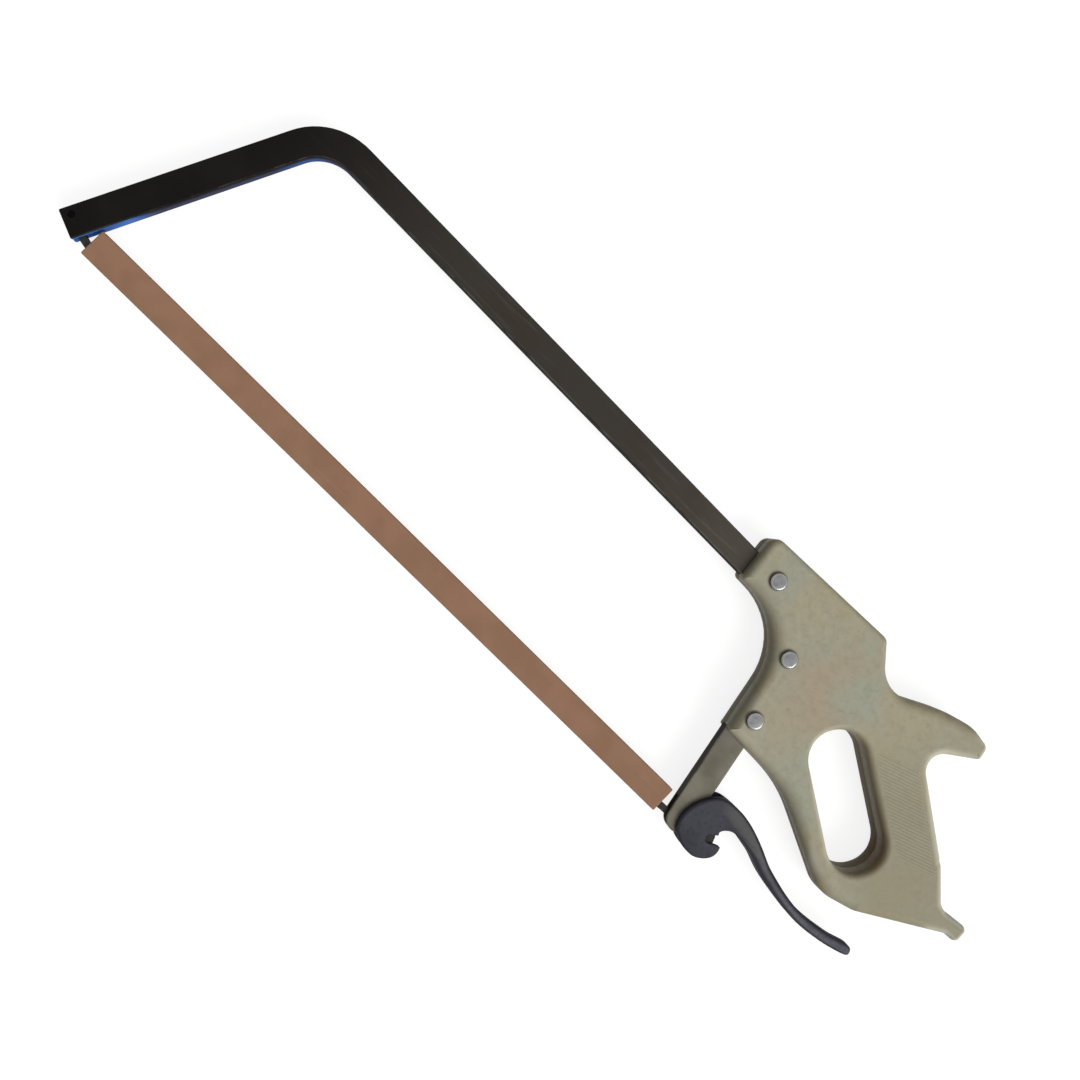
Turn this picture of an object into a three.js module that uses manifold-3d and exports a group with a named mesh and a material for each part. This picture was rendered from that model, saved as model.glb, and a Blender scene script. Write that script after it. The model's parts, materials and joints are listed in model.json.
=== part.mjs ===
// Butcher's bow saw, lying on its side. A flat bar is bent into a bow, a two-part handle is bolted over
// its rear bend, and a scroll lever on the end of the bar draws the blade tight over centre.
// Millimetres. X runs along the blade from the front of the bow to the handle, Y from the blade to the
// back of the bow and Z out of the saw's side. Pieces are laid out from the lever's pivot.
import * as THREE from 'three';
import { mergeVertices } from 'three/addons/utils/BufferGeometryUtils.js';
import Module from 'manifold-3d';

const wasm = await Module();
wasm.setup();

// Clearances
const CLEARANCE = 0.3; // between pieces that seat in or slide past each other
const PIN_CLEARANCE = 0.2; // round a pin in its hole

// Blade
const BLADE_LENGTH = 508;
const BLADE_WIDTH = 16;
const BLADE_THICKNESS = 0.8;
const BLADE_PIN_RADIUS = 2;
const BLADE_PIN_INSET = 9; // pin centre from the blade's end
const TOOTH_PITCH = 2.54;
const TOOTH_DEPTH = 1.4;
const TOOTH_RAKE = 0.9; // tip ahead of the gullet behind it
const PLAIN_END = 18; // toothless stretch at each end

// Bow
const BAR_WIDTH = 19;
const BAR_THICKNESS = 9.5;
const BAR_CHAMFER = 0.8;
const BOW_HEIGHT = 153.5; // blade line to the middle of the back bar
const FRONT_RAKE = 24; // degrees that the front arm leans forward
const FRONT_BEND_RADIUS = 36;
const FRONT_GAP = 5.5; // blade's end to the front arm
const FRONT_TIP_DROP = 4.8; // front arm's end below the blade line
const REAR_ARM_LEAN = 10.4; // degrees that the rear arm leans back
const REAR_BEND_RADIUS = 30;
const REAR_GAP = 21; // blade's end to the lever's pivot
const ARM_END_SETBACK = 4; // middle of the arm's round end ahead of the pivot
const ARM_END_DROP = 1; // and below it

// Hooks that hold the blade's pins
const HOOK_THICKNESS = 4;
const HOOK_BAND = 4.6; // width of the hook's band
const HOOK_LIP_ANGLE = 14; // degrees that the lip rises past the blade line
const FRONT_HOOK_PIN_RADIUS = 2;
const FRONT_HOOK_PIN_HEIGHT = 6.7; // from the front arm's end
const FRONT_HOOK_PIN_OFFSET = 4.3; // from the arm's middle to its outer edge
const FRONT_KERF_LENGTH = 20;
const REAR_KERF_LENGTH = 21;
const OVER_CENTRE_PLAY = 0.5; // extra room at the rear pin that the lever takes up as it passes centre
const LINK_RISE = 3.6; // middle of the draw link below the blade line, ahead of the pivot

// Tension lever
const LEVER_THICKNESS = 18.6;
const LEVER_TIP_THICKNESS = 9;
const LEVER_EDGE = 2; // rounded edge of the casting
const LEVER_PIVOT_RADIUS = 2.5;
const FORK_REACH = 27.5; // radius of the room between the cheeks
const CRANK_LENGTH = 18.8; // pivot to the draw link's pin
const CRANK_ANGLE = 10.7; // degrees that the pin stands past centre
const LINK_PIN_RADIUS = 2.8;
const LINK_PIN_RECESS = 1.4; // pin's end below the cheek's face
const LINK_EYE_WALL = 3.2;
const NOTCH_MOUTH_ANGLE = 28; // degrees, the way the scroll's notch opens

// Handle
const HANDLE_THICKNESS = 26;
const BAR_REVEAL = 1; // bar's front edge proud of the handle
const HEAD_REACH = 60.5; // head's front ahead of the bar's rear corner
const HEAD_RISE = 24.5; // head's top above the middle of the back bar, at the front
const HEAD_BACK_REACH = 43.5; // head's rear corner behind the bar's rear corner
const HEAD_BACK_RISE = 30;
const HEAD_WALL = 2.5; // handle below the back bar
const FRONT_EDGE_DROP = 89.5; // handle down the rear arm
const GRIP_WIDTH = 37.7;
const HORN_REACH = 80.5; // horn's end out from the hand hole
const HEEL_REACH = 58; // heel spur behind the hand hole
const BOW_WIDTH = 10.1; // knuckle bow below the hand hole
const HAND_HOLE_LENGTH = 100;
const HAND_HOLE_WIDTH = 41;
const HAND_HOLE_CORNER = 20;
const HAND_HOLE_ANGLE = -32.4; // degrees
const HAND_HOLE_FORWARD = 102; // middle of the hole behind the bar's rear corner
const HAND_HOLE_DROP = 67.5; // and below it
const DOWEL_RADIUS = 2.5;
const DOWEL_LENGTH = 16;

// Saw bolts and their barrel nuts
const BOLT_HEAD_RADIUS = 5.9;
const BOLT_HEAD_HEIGHT = 2.4;
const BOLT_HEAD_EDGE = 0.9;
const BOLT_SHANK_RADIUS = 2.4;
const NUT_BARREL_RADIUS = 3.6;
const BOLT_TOP_DISTANCE = 39.6; // from the bar's rear corner, along the back bar
const BOLT_TOP_RISE = 3.2; // above the bar's middle
const BOLT_MIDDLE_DISTANCE = 28.1; // along the rear arm
const BOLT_MIDDLE_FORWARD = 2.3; // ahead of the arm's middle
const BOLT_LOWER_DISTANCE = 74.6;
const BOLT_LOWER_FORWARD = -1.8;

// Blade guard
const GUARD_WALL = 1.2;
const GUARD_LIP = 1.5; // guard above the blade's back
const GUARD_EDGE = 1;
const GUARD_SLOT_PLAY = 0.4; // each side of the blade
const GUARD_FRONT_POCKET = 24;
const GUARD_REAR_POCKET = 34;

const ARC_STEP = 0.22; // radians for each facet of a rounded corner
const ROUND_SEGMENTS = 24;
const degrees = THREE.MathUtils.degToRad;
const point = (x, y) => new THREE.Vector2(x, y);
const polar = (centre, radius, angle) =>
  point(centre.x + radius * Math.cos(angle), centre.y + radius * Math.sin(angle));

// Solid from a closed geometry, for joins and cuts.
function solid(geometry) {
  geometry.deleteAttribute('normal');
  geometry.deleteAttribute('uv');
  const merged = mergeVertices(geometry, 1e-5);
  const index = merged.index.array;
  const corners = [];
  for (let i = 0; i < index.length; i += 3) {
    const [a, b, c] = index.subarray(i, i + 3);
    if (a !== b && b !== c && c !== a) corners.push(a, b, c);
  }
  return new wasm.Manifold(new wasm.Mesh({
    numProp: 3,
    vertProperties: new Float32Array(merged.attributes.position.array),
    triVerts: new Uint32Array(corners),
  }));
}

// Geometry from a finished solid.
function surface(body) {
  const mesh = body.getMesh();
  const geometry = new THREE.BufferGeometry();
  geometry.setAttribute('position', new THREE.Float32BufferAttribute(mesh.vertProperties, 3));
  geometry.setIndex(new THREE.Uint32BufferAttribute(mesh.triVerts, 1));
  geometry.computeVertexNormals();
  return geometry;
}

function cut(body, ...tools) {
  return tools.reduce((left, tool) => left.subtract(tool), body);
}

// Flat plate of a shape, centred on the saw's middle plane.
function plate(shape, thickness) {
  const geometry = new THREE.ExtrudeGeometry(shape, { depth: thickness, bevelEnabled: false, curveSegments: 8 });
  geometry.translate(0, 0, -thickness / 2);
  return solid(geometry);
}

// Round bar across the saw, centred on the middle plane.
function crossRod(centre, radius, length) {
  const geometry = new THREE.CylinderGeometry(radius, radius, length, ROUND_SEGMENTS);
  geometry.rotateX(Math.PI / 2);
  geometry.translate(centre.x, centre.y, 0);
  return solid(geometry);
}

// Box between two corners of the saw's plane, centred on the middle plane.
function slot(low, high, thickness) {
  const geometry = new THREE.BoxGeometry(high.x - low.x, high.y - low.y, thickness);
  geometry.translate((low.x + high.x) / 2, (low.y + high.y) / 2, 0);
  return solid(geometry);
}

// Closed outline of straight runs joined by tangent arcs. Each corner gives its place, the radius of its
// arc and the edge rounding there. Arcs that share a run too short for both are made smaller, the edge
// rounding of an outward bend stays within its arc, and arcs that nearly meet share one vertex.
function roundedOutline(corners) {
  const bends = corners.map((corner, i) => {
    const back = corners.at(i - 1).at.clone().sub(corner.at).normalize();
    const ahead = corners[(i + 1) % corners.length].at.clone().sub(corner.at).normalize();
    const half = Math.acos(THREE.MathUtils.clamp(back.dot(ahead), -1, 1)) / 2;
    return { ...corner, back, ahead, half, reach: corner.arc / Math.tan(half) };
  });
  const room = (one, other) => Math.min(1, one.at.distanceTo(other.at) / (one.reach + other.reach));
  const outline = [];
  bends.forEach((bend, i) => {
    const { at, back, ahead, half } = bend;
    const reach = bend.reach * Math.min(room(bend, bends.at(i - 1)), room(bend, bends[(i + 1) % bends.length]));
    const middle = back.clone().add(ahead).normalize().multiplyScalar(reach / Math.cos(half)).add(at);
    const start = at.clone().addScaledVector(back, reach).sub(middle);
    const turn = (Math.PI - 2 * half) * Math.sign(ahead.cross(back));
    const steps = Math.max(2, Math.ceil(Math.abs(turn) / ARC_STEP));
    const edge = turn > 0 ? Math.min(bend.edge, 0.8 * reach * Math.tan(half)) : bend.edge;
    for (let k = 0; k <= steps; k += 1) {
      outline.push({ at: start.clone().rotateAround(point(0, 0), (turn * k) / steps).add(middle), edge });
    }
  });
  return outline.filter((vertex, i) => vertex.at.distanceTo(outline.at(i - 1).at) > ARC_STEP * vertex.edge);
}

const shapeOf = (outline) => new THREE.Shape(outline.map((vertex) => vertex.at));

// Outward direction of each outline vertex, long enough to move both runs beside it by one unit.
function miters(outline) {
  return outline.map((vertex, i) => {
    const before = vertex.at.clone().sub(outline.at(i - 1).at).normalize();
    const after = outline[(i + 1) % outline.length].at.clone().sub(vertex.at).normalize();
    const normal = point(before.y + after.y, -before.x - after.x);
    return normal.divideScalar(1 + before.dot(after));
  });
}

// Slab between two heights whose outer edges are rounded, at the top, the bottom or both, by a quarter
// circle of each vertex's edge radius. Outlines run anticlockwise and holes clockwise.
function roundedSlab(outline, holes, low, high, { bottom = false, top = false, steps = 4 }) {
  const rounds = Array.from({ length: steps + 1 }, (_, k) => (k / steps) * (Math.PI / 2));
  const levels = [
    ...(bottom ? [...rounds].reverse().map((angle) => ({ angle, from: low, way: 1 })) : [{ angle: null, from: low }]),
    ...(top ? rounds.map((angle) => ({ angle, from: high, way: -1 })) : [{ angle: null, from: high }]),
  ];
  const loops = [outline, ...holes];
  const outward = loops.map(miters);
  const rings = levels.map(({ angle, from, way }) => loops.map((loop, l) => loop.map(({ at, edge }, i) => {
    if (angle === null) return new THREE.Vector3(at.x, at.y, from);
    const inset = at.clone().addScaledVector(outward[l][i], -edge * (1 - Math.cos(angle)));
    return new THREE.Vector3(inset.x, inset.y, from + way * edge * (1 - Math.sin(angle)));
  })));
  const vertices = rings.flat(2);
  const ringSize = vertices.length / rings.length;
  const triangles = [];
  rings.slice(1).forEach((_, r) => {
    let first = r * ringSize;
    loops.forEach((loop) => {
      loop.forEach((__, i) => {
        const a = first + i;
        const b = first + ((i + 1) % loop.length);
        triangles.push(a, b, b + ringSize, a, b + ringSize, a + ringSize);
      });
      first += loop.length;
    });
  });
  const flat = (ring) => ring.map((loop) => loop.map((vertex) => point(vertex.x, vertex.y)));
  const [under, ...underHoles] = flat(rings[0]);
  const [over, ...overHoles] = flat(rings.at(-1));
  THREE.ShapeUtils.triangulateShape(under, underHoles).forEach(([a, b, c]) => triangles.push(c, b, a));
  const lid = (rings.length - 1) * ringSize;
  THREE.ShapeUtils.triangulateShape(over, overHoles).forEach(([a, b, c]) => triangles.push(lid + a, lid + b, lid + c));
  const geometry = new THREE.BufferGeometry().setFromPoints(vertices);
  geometry.setIndex(triangles);
  return geometry;
}

// Band of even width that follows a path, round at both ends.
function bandShape(path, width, steps) {
  const half = width / 2;
  const places = path.getPoints(steps);
  const sides = places.map((place, i) => {
    const along = places[Math.min(i + 1, steps)].clone().sub(places[Math.max(i - 1, 0)]).normalize();
    return point(-along.y, along.x).multiplyScalar(half);
  });
  const cap = (centre, side) => [1, 2, 3, 4, 5].map((k) =>
    side.clone().rotateAround(point(0, 0), (-Math.PI * k) / 6).add(centre));
  const left = places.map((place, i) => place.clone().add(sides[i]));
  const right = places.map((place, i) => place.clone().sub(sides[i]));
  return new THREE.Shape([
    ...left,
    ...cap(places.at(-1), sides.at(-1)),
    ...right.reverse(),
    ...cap(places[0], sides[0].clone().negate()),
  ]);
}

// Corner of a bar's edge, offset to the left of the path that bends at a point.
function offsetCorner(at, into, out, distance) {
  const normal = point(-into.y - out.y, into.x + out.x).divideScalar(1 + into.dot(out));
  return at.clone().addScaledVector(normal, distance);
}

// Layout of the blade and of the bow's middle line
const pivot = point(0, 0);
const bladeRear = -REAR_GAP;
const bladeFront = bladeRear - BLADE_LENGTH;
const rearPin = point(bladeRear - BLADE_PIN_INSET, 0);
const frontPin = point(bladeFront + BLADE_PIN_INSET, 0);
const linkPin = polar(pivot, CRANK_LENGTH, degrees(CRANK_ANGLE));

const frontDown = point(-Math.sin(degrees(FRONT_RAKE)), -Math.cos(degrees(FRONT_RAKE)));
const rearDown = point(Math.sin(degrees(REAR_ARM_LEAN)), -Math.cos(degrees(REAR_ARM_LEAN)));
const backward = point(1, 0);
const frontCrossing = point(bladeFront - FRONT_GAP - BAR_WIDTH / 2 / -frontDown.y, 0);
const frontTip = frontCrossing.clone().addScaledVector(frontDown, FRONT_TIP_DROP);
const frontCorner = frontCrossing.clone().addScaledVector(frontDown, BOW_HEIGHT / frontDown.y);
const armEnd = point(-ARM_END_SETBACK, -ARM_END_DROP);
const rearCorner = armEnd.clone().addScaledVector(rearDown, (BOW_HEIGHT + ARM_END_DROP) / rearDown.y);
const frontHookPin = frontTip.clone()
  .addScaledVector(frontDown, -FRONT_HOOK_PIN_HEIGHT)
  .addScaledVector(point(frontDown.y, -frontDown.x), FRONT_HOOK_PIN_OFFSET);
const armForward = point(rearDown.y, -rearDown.x);
const boltPlaces = {
  top: rearCorner.clone().add(point(-BOLT_TOP_DISTANCE, BOLT_TOP_RISE)),
  middle: rearCorner.clone()
    .addScaledVector(rearDown, BOLT_MIDDLE_DISTANCE)
    .addScaledVector(armForward, BOLT_MIDDLE_FORWARD),
  lower: rearCorner.clone()
    .addScaledVector(rearDown, BOLT_LOWER_DISTANCE)
    .addScaledVector(armForward, BOLT_LOWER_FORWARD),
};

// Outline of the bar, grown on every side: along the outer edge to the round rear end and back inside.
function bowOutline(grow) {
  const half = BAR_WIDTH / 2 + grow;
  const frontUp = frontDown.clone().negate();
  const tip = frontTip.clone().addScaledVector(frontDown, grow);
  const end = armEnd.clone().addScaledVector(rearDown, half);
  const edge = BAR_CHAMFER;
  const side = (distance, bend) => [
    { at: offsetCorner(tip, frontUp, frontUp, distance), arc: 2 * BAR_CHAMFER, edge },
    { at: offsetCorner(frontCorner, frontUp, backward, distance), arc: FRONT_BEND_RADIUS + bend, edge },
    { at: offsetCorner(rearCorner, backward, rearDown, distance), arc: REAR_BEND_RADIUS + bend, edge },
    { at: offsetCorner(end, rearDown, rearDown, distance), arc: half, edge },
  ];
  return roundedOutline([...side(-half, -half), ...side(half, half).reverse()]);
}

// Kerf sawn up the middle of an arm from its end.
function kerf(end, down, length) {
  const width = BAR_WIDTH * 2;
  const geometry = new THREE.BoxGeometry(width, 2 * length, HOOK_THICKNESS + 2 * CLEARANCE);
  geometry.rotateZ(Math.atan2(down.x, -down.y));
  geometry.translate(end.x, end.y, 0);
  return solid(geometry);
}

function bowFrame() {
  const bar = solid(roundedSlab(bowOutline(0), [], -BAR_THICKNESS / 2, BAR_THICKNESS / 2,
    { bottom: true, top: true, steps: 1 }));
  const through = 2 * BAR_THICKNESS;
  const bores = Object.values(boltPlaces).map((at) => crossRod(at, NUT_BARREL_RADIUS + PIN_CLEARANCE, through));
  return cut(bar,
    kerf(frontTip, frontDown, FRONT_KERF_LENGTH),
    kerf(armEnd.clone().addScaledVector(rearDown, BAR_WIDTH / 2), rearDown, REAR_KERF_LENGTH),
    crossRod(frontHookPin, FRONT_HOOK_PIN_RADIUS + PIN_CLEARANCE, through),
    crossRod(pivot, LEVER_PIVOT_RADIUS + PIN_CLEARANCE, through),
    ...bores);
}

// Place on the handle measured from the hand hole: along it from one of its ends, and across it from one
// of its sides.
function fromHole(end, along, side, across) {
  return point(end * HAND_HOLE_LENGTH / 2 + along, side * HAND_HOLE_WIDTH / 2 + across)
    .rotateAround(point(0, 0), degrees(HAND_HOLE_ANGLE))
    .add(point(HAND_HOLE_FORWARD, -HAND_HOLE_DROP))
    .add(rearCorner);
}

// Handle sketch: the head round the bar's bend, the front edge along the rear arm, and round the hand hole
// the knuckle bow, heel spur, grip, horn and throat. Each place has the radius of its arc and its edge.
function handleOutline() {
  const armFront = (y) => -y * Math.tan(degrees(REAR_ARM_LEAN))
    - (BAR_WIDTH / 2 - BAR_REVEAL) / Math.cos(degrees(REAR_ARM_LEAN));
  const fromBar = (x, y) => point(x, y).add(rearCorner);
  const underBar = -(BAR_WIDTH / 2 + HEAD_WALL);
  const sketch = [
    [fromBar(-HEAD_REACH - 2, HEAD_RISE), 7, 5],
    [fromBar(-HEAD_REACH + 2, underBar), 4, 3.4],
    [fromBar(armFront(underBar), underBar), 50, 6],
    [fromBar(armFront(-FRONT_EDGE_DROP), -FRONT_EDGE_DROP), 4, 3.4],
    [fromHole(-1, 30, -1, -2 * BOW_WIDTH), 100, 5],
    [fromHole(1, 7.3, -1, -BOW_WIDTH), 26, 5],
    [fromHole(1, 25, -1, 9), 20, 5],
    [fromHole(1, HEEL_REACH + 1.7, 1, 31), 8, 4],
    [fromHole(1, HEEL_REACH + 9.2, 1, 34.4), 4, 3],
    [fromHole(1, HEEL_REACH + 1.5, 1, 46), 4, 3],
    [fromHole(1, HEEL_REACH - 16, 1, 31), 10, 5],
    [fromHole(1, 9, 1, GRIP_WIDTH), 40, 10],
    [fromHole(-1, 30, 1, GRIP_WIDTH + 3), 12, 9],
    [fromHole(-1, 46, 1, HORN_REACH - 2.6), 4, 3],
    [fromHole(-1, 38.5, 1, HORN_REACH + 5.4), 6, 3],
    [fromHole(-1, 22.6, 1, HORN_REACH - 1.8), 25, 6],
    [fromHole(-1, 7.4, 1, HORN_REACH - 19), 80, 7],
    [fromHole(-1, -17, 1, 20.8), 24, 6],
    [fromBar(HEAD_BACK_REACH, HEAD_BACK_RISE), 9, 5],
  ];
  return roundedOutline(sketch.map(([at, arc, edge]) => ({ at, arc, edge })));
}

function handHole() {
  const corner = (end, side, edge) => ({ at: fromHole(end, 0, side, 0), arc: HAND_HOLE_CORNER, edge });
  return roundedOutline([corner(-1, -1, 5), corner(-1, 1, 9), corner(1, 1, 9), corner(1, -1, 5)]);
}

const dowelPlaces = {
  upper: fromHole(-1, 9.4, 1, GRIP_WIDTH - 2),
  lower: fromHole(1, 25.8, 1, 5.7),
};

// Handle half on one side of the middle plane, hollowed for the bar, the bolts and the dowels.
function handleHalf(side) {
  const [low, high] = side > 0 ? [0, HANDLE_THICKNESS / 2] : [-HANDLE_THICKNESS / 2, 0];
  const half = solid(roundedSlab(handleOutline(), [handHole()], low, high, { bottom: side < 0, top: side > 0 }));
  const bores = Object.values(boltPlaces)
    .map((at) => crossRod(at, NUT_BARREL_RADIUS + PIN_CLEARANCE, 2 * HANDLE_THICKNESS));
  const sockets = Object.values(dowelPlaces)
    .map((at) => crossRod(at, DOWEL_RADIUS + PIN_CLEARANCE, DOWEL_LENGTH + 2 * CLEARANCE));
  const channel = plate(shapeOf(bowOutline(CLEARANCE)), BAR_THICKNESS + 2 * CLEARANCE);
  return cut(half, channel, ...bores, ...sockets);
}

// Turned piece on a cross axis, from points of radius and height.
function turned(profile, at) {
  const geometry = new THREE.LatheGeometry(profile.map(([radius, z]) => point(radius, z)), ROUND_SEGMENTS);
  geometry.rotateX(Math.PI / 2);
  geometry.translate(at.x, at.y, 0);
  return geometry;
}

// Flat head with a rounded rim on one face of the handle, from its middle out to its seat.
function headProfile(side) {
  const seat = side * HANDLE_THICKNESS / 2;
  const top = seat + side * BOLT_HEAD_HEIGHT;
  const rim = BOLT_HEAD_RADIUS - BOLT_HEAD_EDGE;
  const shoulder = top - side * BOLT_HEAD_EDGE;
  const slope = Math.SQRT1_2 * BOLT_HEAD_EDGE;
  return [
    [0, top],
    [rim, top],
    [rim + slope, shoulder + side * slope],
    [BOLT_HEAD_RADIUS, shoulder],
    [BOLT_HEAD_RADIUS, seat],
  ];
}

const barrelEnd = HANDLE_THICKNESS / 2 - BOLT_HEAD_HEIGHT;
const shankEnd = BOLT_HEAD_HEIGHT - HANDLE_THICKNESS / 2;

function sawBolt(at) {
  return turned([
    ...headProfile(1),
    [BOLT_SHANK_RADIUS, HANDLE_THICKNESS / 2],
    [BOLT_SHANK_RADIUS, shankEnd],
    [0, shankEnd],
  ].reverse(), at);
}

function sawNut(at) {
  const bore = BOLT_SHANK_RADIUS + PIN_CLEARANCE;
  return turned([
    ...headProfile(-1),
    [NUT_BARREL_RADIUS, -HANDLE_THICKNESS / 2],
    [NUT_BARREL_RADIUS, barrelEnd],
    [bore, barrelEnd],
    [bore, shankEnd - CLEARANCE],
    [0, shankEnd - CLEARANCE],
  ], at);
}

// Path of a hook's band: through its points, then round the blade's pin to the lip.
function hookPath(points, pin, radius, sense) {
  const sweep = degrees(90 + HOOK_LIP_ANGLE);
  const crook = [0, 0.25, 0.5, 0.75, 1].map((share) => polar(pin, radius, -Math.PI / 2 + sense * sweep * share));
  return new THREE.SplineCurve([...points, ...crook]);
}

const crookRadius = BLADE_PIN_RADIUS + CLEARANCE + HOOK_BAND / 2;
const bladeSlot = BLADE_THICKNESS + 2 * CLEARANCE;

function frontHook() {
  const neck = point((frontHookPin.x + frontPin.x) / 2, -crookRadius / 2);
  const path = hookPath([frontHookPin, neck], frontPin, crookRadius, 1);
  const eye = crossRod(frontHookPin, FRONT_HOOK_PIN_RADIUS + LINK_EYE_WALL, HOOK_THICKNESS);
  const hook = plate(bandShape(path, HOOK_BAND, 40), HOOK_THICKNESS).add(eye);
  const slotStart = point(bladeFront - 2 * CLEARANCE, -BLADE_WIDTH);
  return cut(hook,
    slot(slotStart, point(frontPin.x + BLADE_WIDTH, BLADE_WIDTH), bladeSlot),
    crossRod(frontHookPin, FRONT_HOOK_PIN_RADIUS + PIN_CLEARANCE, BAR_THICKNESS));
}

function drawLink() {
  const beneath = point(0, -(LEVER_PIVOT_RADIUS + 2 * CLEARANCE + HOOK_BAND / 2));
  const aside = point(linkPin.x / 2, beneath.y / 2);
  const ahead = point(rearPin.x / 2, -LINK_RISE);
  const path = hookPath([linkPin, aside, beneath, ahead], rearPin, crookRadius + OVER_CENTRE_PLAY, -1);
  const eye = crossRod(linkPin, LINK_PIN_RADIUS + LINK_EYE_WALL, HOOK_THICKNESS);
  const link = plate(bandShape(path, HOOK_BAND, 48), HOOK_THICKNESS).add(eye);
  return cut(link,
    slot(point(rearPin.x - BLADE_WIDTH, -BLADE_WIDTH), point(-REAR_GAP / 4, BLADE_WIDTH), bladeSlot),
    crossRod(linkPin, LINK_PIN_RADIUS + PIN_CLEARANCE, LEVER_THICKNESS));
}

// Toothed strip with a hole for each pin.
function blade() {
  const cutting = -BLADE_WIDTH / 2;
  const gullet = cutting + TOOTH_DEPTH;
  const teeth = Math.floor((BLADE_LENGTH - 2 * PLAIN_END) / TOOTH_PITCH);
  const firstTooth = bladeFront + PLAIN_END;
  const edge = [point(bladeFront, gullet)];
  for (let i = 0; i < teeth; i += 1) {
    edge.push(point(firstTooth + i * TOOTH_PITCH, gullet));
    edge.push(point(firstTooth + i * TOOTH_PITCH + TOOTH_RAKE, cutting));
  }
  edge.push(point(firstTooth + teeth * TOOTH_PITCH, gullet), point(bladeRear, gullet));
  const strip = new THREE.Shape([...edge, point(bladeRear, BLADE_WIDTH / 2), point(bladeFront, BLADE_WIDTH / 2)]);
  [frontPin, rearPin].forEach((pin) => {
    strip.holes.push(new THREE.Path().absarc(pin.x, pin.y, BLADE_PIN_RADIUS + PIN_CLEARANCE, 0, 2 * Math.PI));
  });
  return plate(strip, BLADE_THICKNESS);
}

// Guard: a strip with a slot for the blade, open above it, and wide pockets at both ends for the hooks.
function bladeGuard() {
  const thickness = HOOK_THICKNESS + 2 * (CLEARANCE + GUARD_WALL);
  const bottom = -(BLADE_WIDTH / 2 + CLEARANCE + GUARD_WALL);
  const top = BLADE_WIDTH / 2 + GUARD_LIP;
  const corners = [[bladeFront, bottom], [bladeRear, bottom], [bladeRear, top], [bladeFront, top]];
  const outline = roundedOutline(corners.map(([x, y]) => ({ at: point(x, y), arc: GUARD_EDGE, edge: GUARD_EDGE * 0.8 })));
  const strip = solid(roundedSlab(outline, [], -thickness / 2, thickness / 2, { bottom: true, top: true, steps: 2 }));
  const bladeRoom = slot(point(bladeFront - 1, bottom + GUARD_WALL), point(bladeRear + 1, 2 * top),
    BLADE_THICKNESS + 2 * GUARD_SLOT_PLAY);
  const pocket = (from, to) => slot(point(from, 2 * bottom), point(to, 2 * top), HOOK_THICKNESS + 2 * CLEARANCE);
  return cut(strip, bladeRoom,
    pocket(bladeFront - 1, bladeFront + GUARD_FRONT_POCKET),
    pocket(bladeRear - GUARD_REAR_POCKET, bladeRear + 1));
}

// Scroll lever: a fork whose cheeks straddle the arm's end, drawn out into a swept tail.
function tensionLever() {
  const sketch = [
    [-6.5, 4], [-3.6, -6], [2.6, -10.6], [10, -13], [19, -12.8], [26, -8.3], [29, -2.5], [27.6, 4.4], [24.2, 12.2],
    [31, 16.8], [48.4, 15], [67.5, 8.8], [101, 3.8], [126.5, 5.4], [146.5, 10], [150.8, 13.4], [146.5, 17.4], [128.5, 13],
    [99.8, 10.6], [68.6, 16.8], [50.8, 24], [33.5, 29.5], [19, 31], [5, 28.2], [-3.6, 17],
  ];
  const curve = new THREE.SplineCurve([...sketch, sketch[0]].map(([x, y]) => point(x, y)));
  const outline = curve.getPoints(3 * sketch.length).slice(0, -1).map((at) => ({ at, edge: LEVER_EDGE }));
  const half = LEVER_THICKNESS / 2;
  const casting = roundedSlab(outline, [], -half, half, { bottom: true, top: true, steps: 3 });
  const tip = Math.max(...sketch.map(([x]) => x));
  const place = casting.attributes.position;
  for (let i = 0; i < place.count; i += 1) {
    const share = THREE.MathUtils.smoothstep(place.getX(i), FORK_REACH, tip);
    place.setZ(i, place.getZ(i) * THREE.MathUtils.lerp(1, LEVER_TIP_THICKNESS / LEVER_THICKNESS, share));
  }
  const notchRadius = LINK_PIN_RADIUS + CLEARANCE;
  const mouth = new THREE.BoxGeometry(FORK_REACH, 2 * notchRadius, 2 * LEVER_THICKNESS);
  mouth.translate(FORK_REACH / 2, 0, 0);
  mouth.rotateZ(degrees(NOTCH_MOUTH_ANGLE));
  mouth.translate(linkPin.x, linkPin.y, 0);
  return cut(solid(casting),
    crossRod(pivot, FORK_REACH, BAR_THICKNESS + 2 * CLEARANCE),
    crossRod(pivot, LEVER_PIVOT_RADIUS + PIN_CLEARANCE, 2 * LEVER_THICKNESS),
    crossRod(linkPin, notchRadius, 2 * LEVER_THICKNESS),
    solid(mouth));
}

const finish = (color, roughness, metalness) => ({ color, roughness, metalness });
const DARK_STEEL = finish(0x3a3936, 0.4, 0.9);
const BRIGHT_STEEL = finish(0x9a9a98, 0.35, 1);
const PIN_STEEL = finish(0x4a4a4a, 0.45, 1);
const CAST_IRON = finish(0x48484e, 0.6, 0.6);
const IVORY_PLASTIC = finish(0x9f9c84, 0.55, 0);
const ALUMINIUM = finish(0x9a9d98, 0.45, 1);
const BROWN_PLASTIC = finish(0x916e58, 0.8, 0);

const saw = new THREE.Group();

function addPiece(name, shape, look) {
  const geometry = shape.isBufferGeometry ? shape : surface(shape);
  const mesh = new THREE.Mesh(geometry, new THREE.MeshStandardMaterial(look));
  mesh.name = name;
  saw.add(mesh);
}

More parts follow.
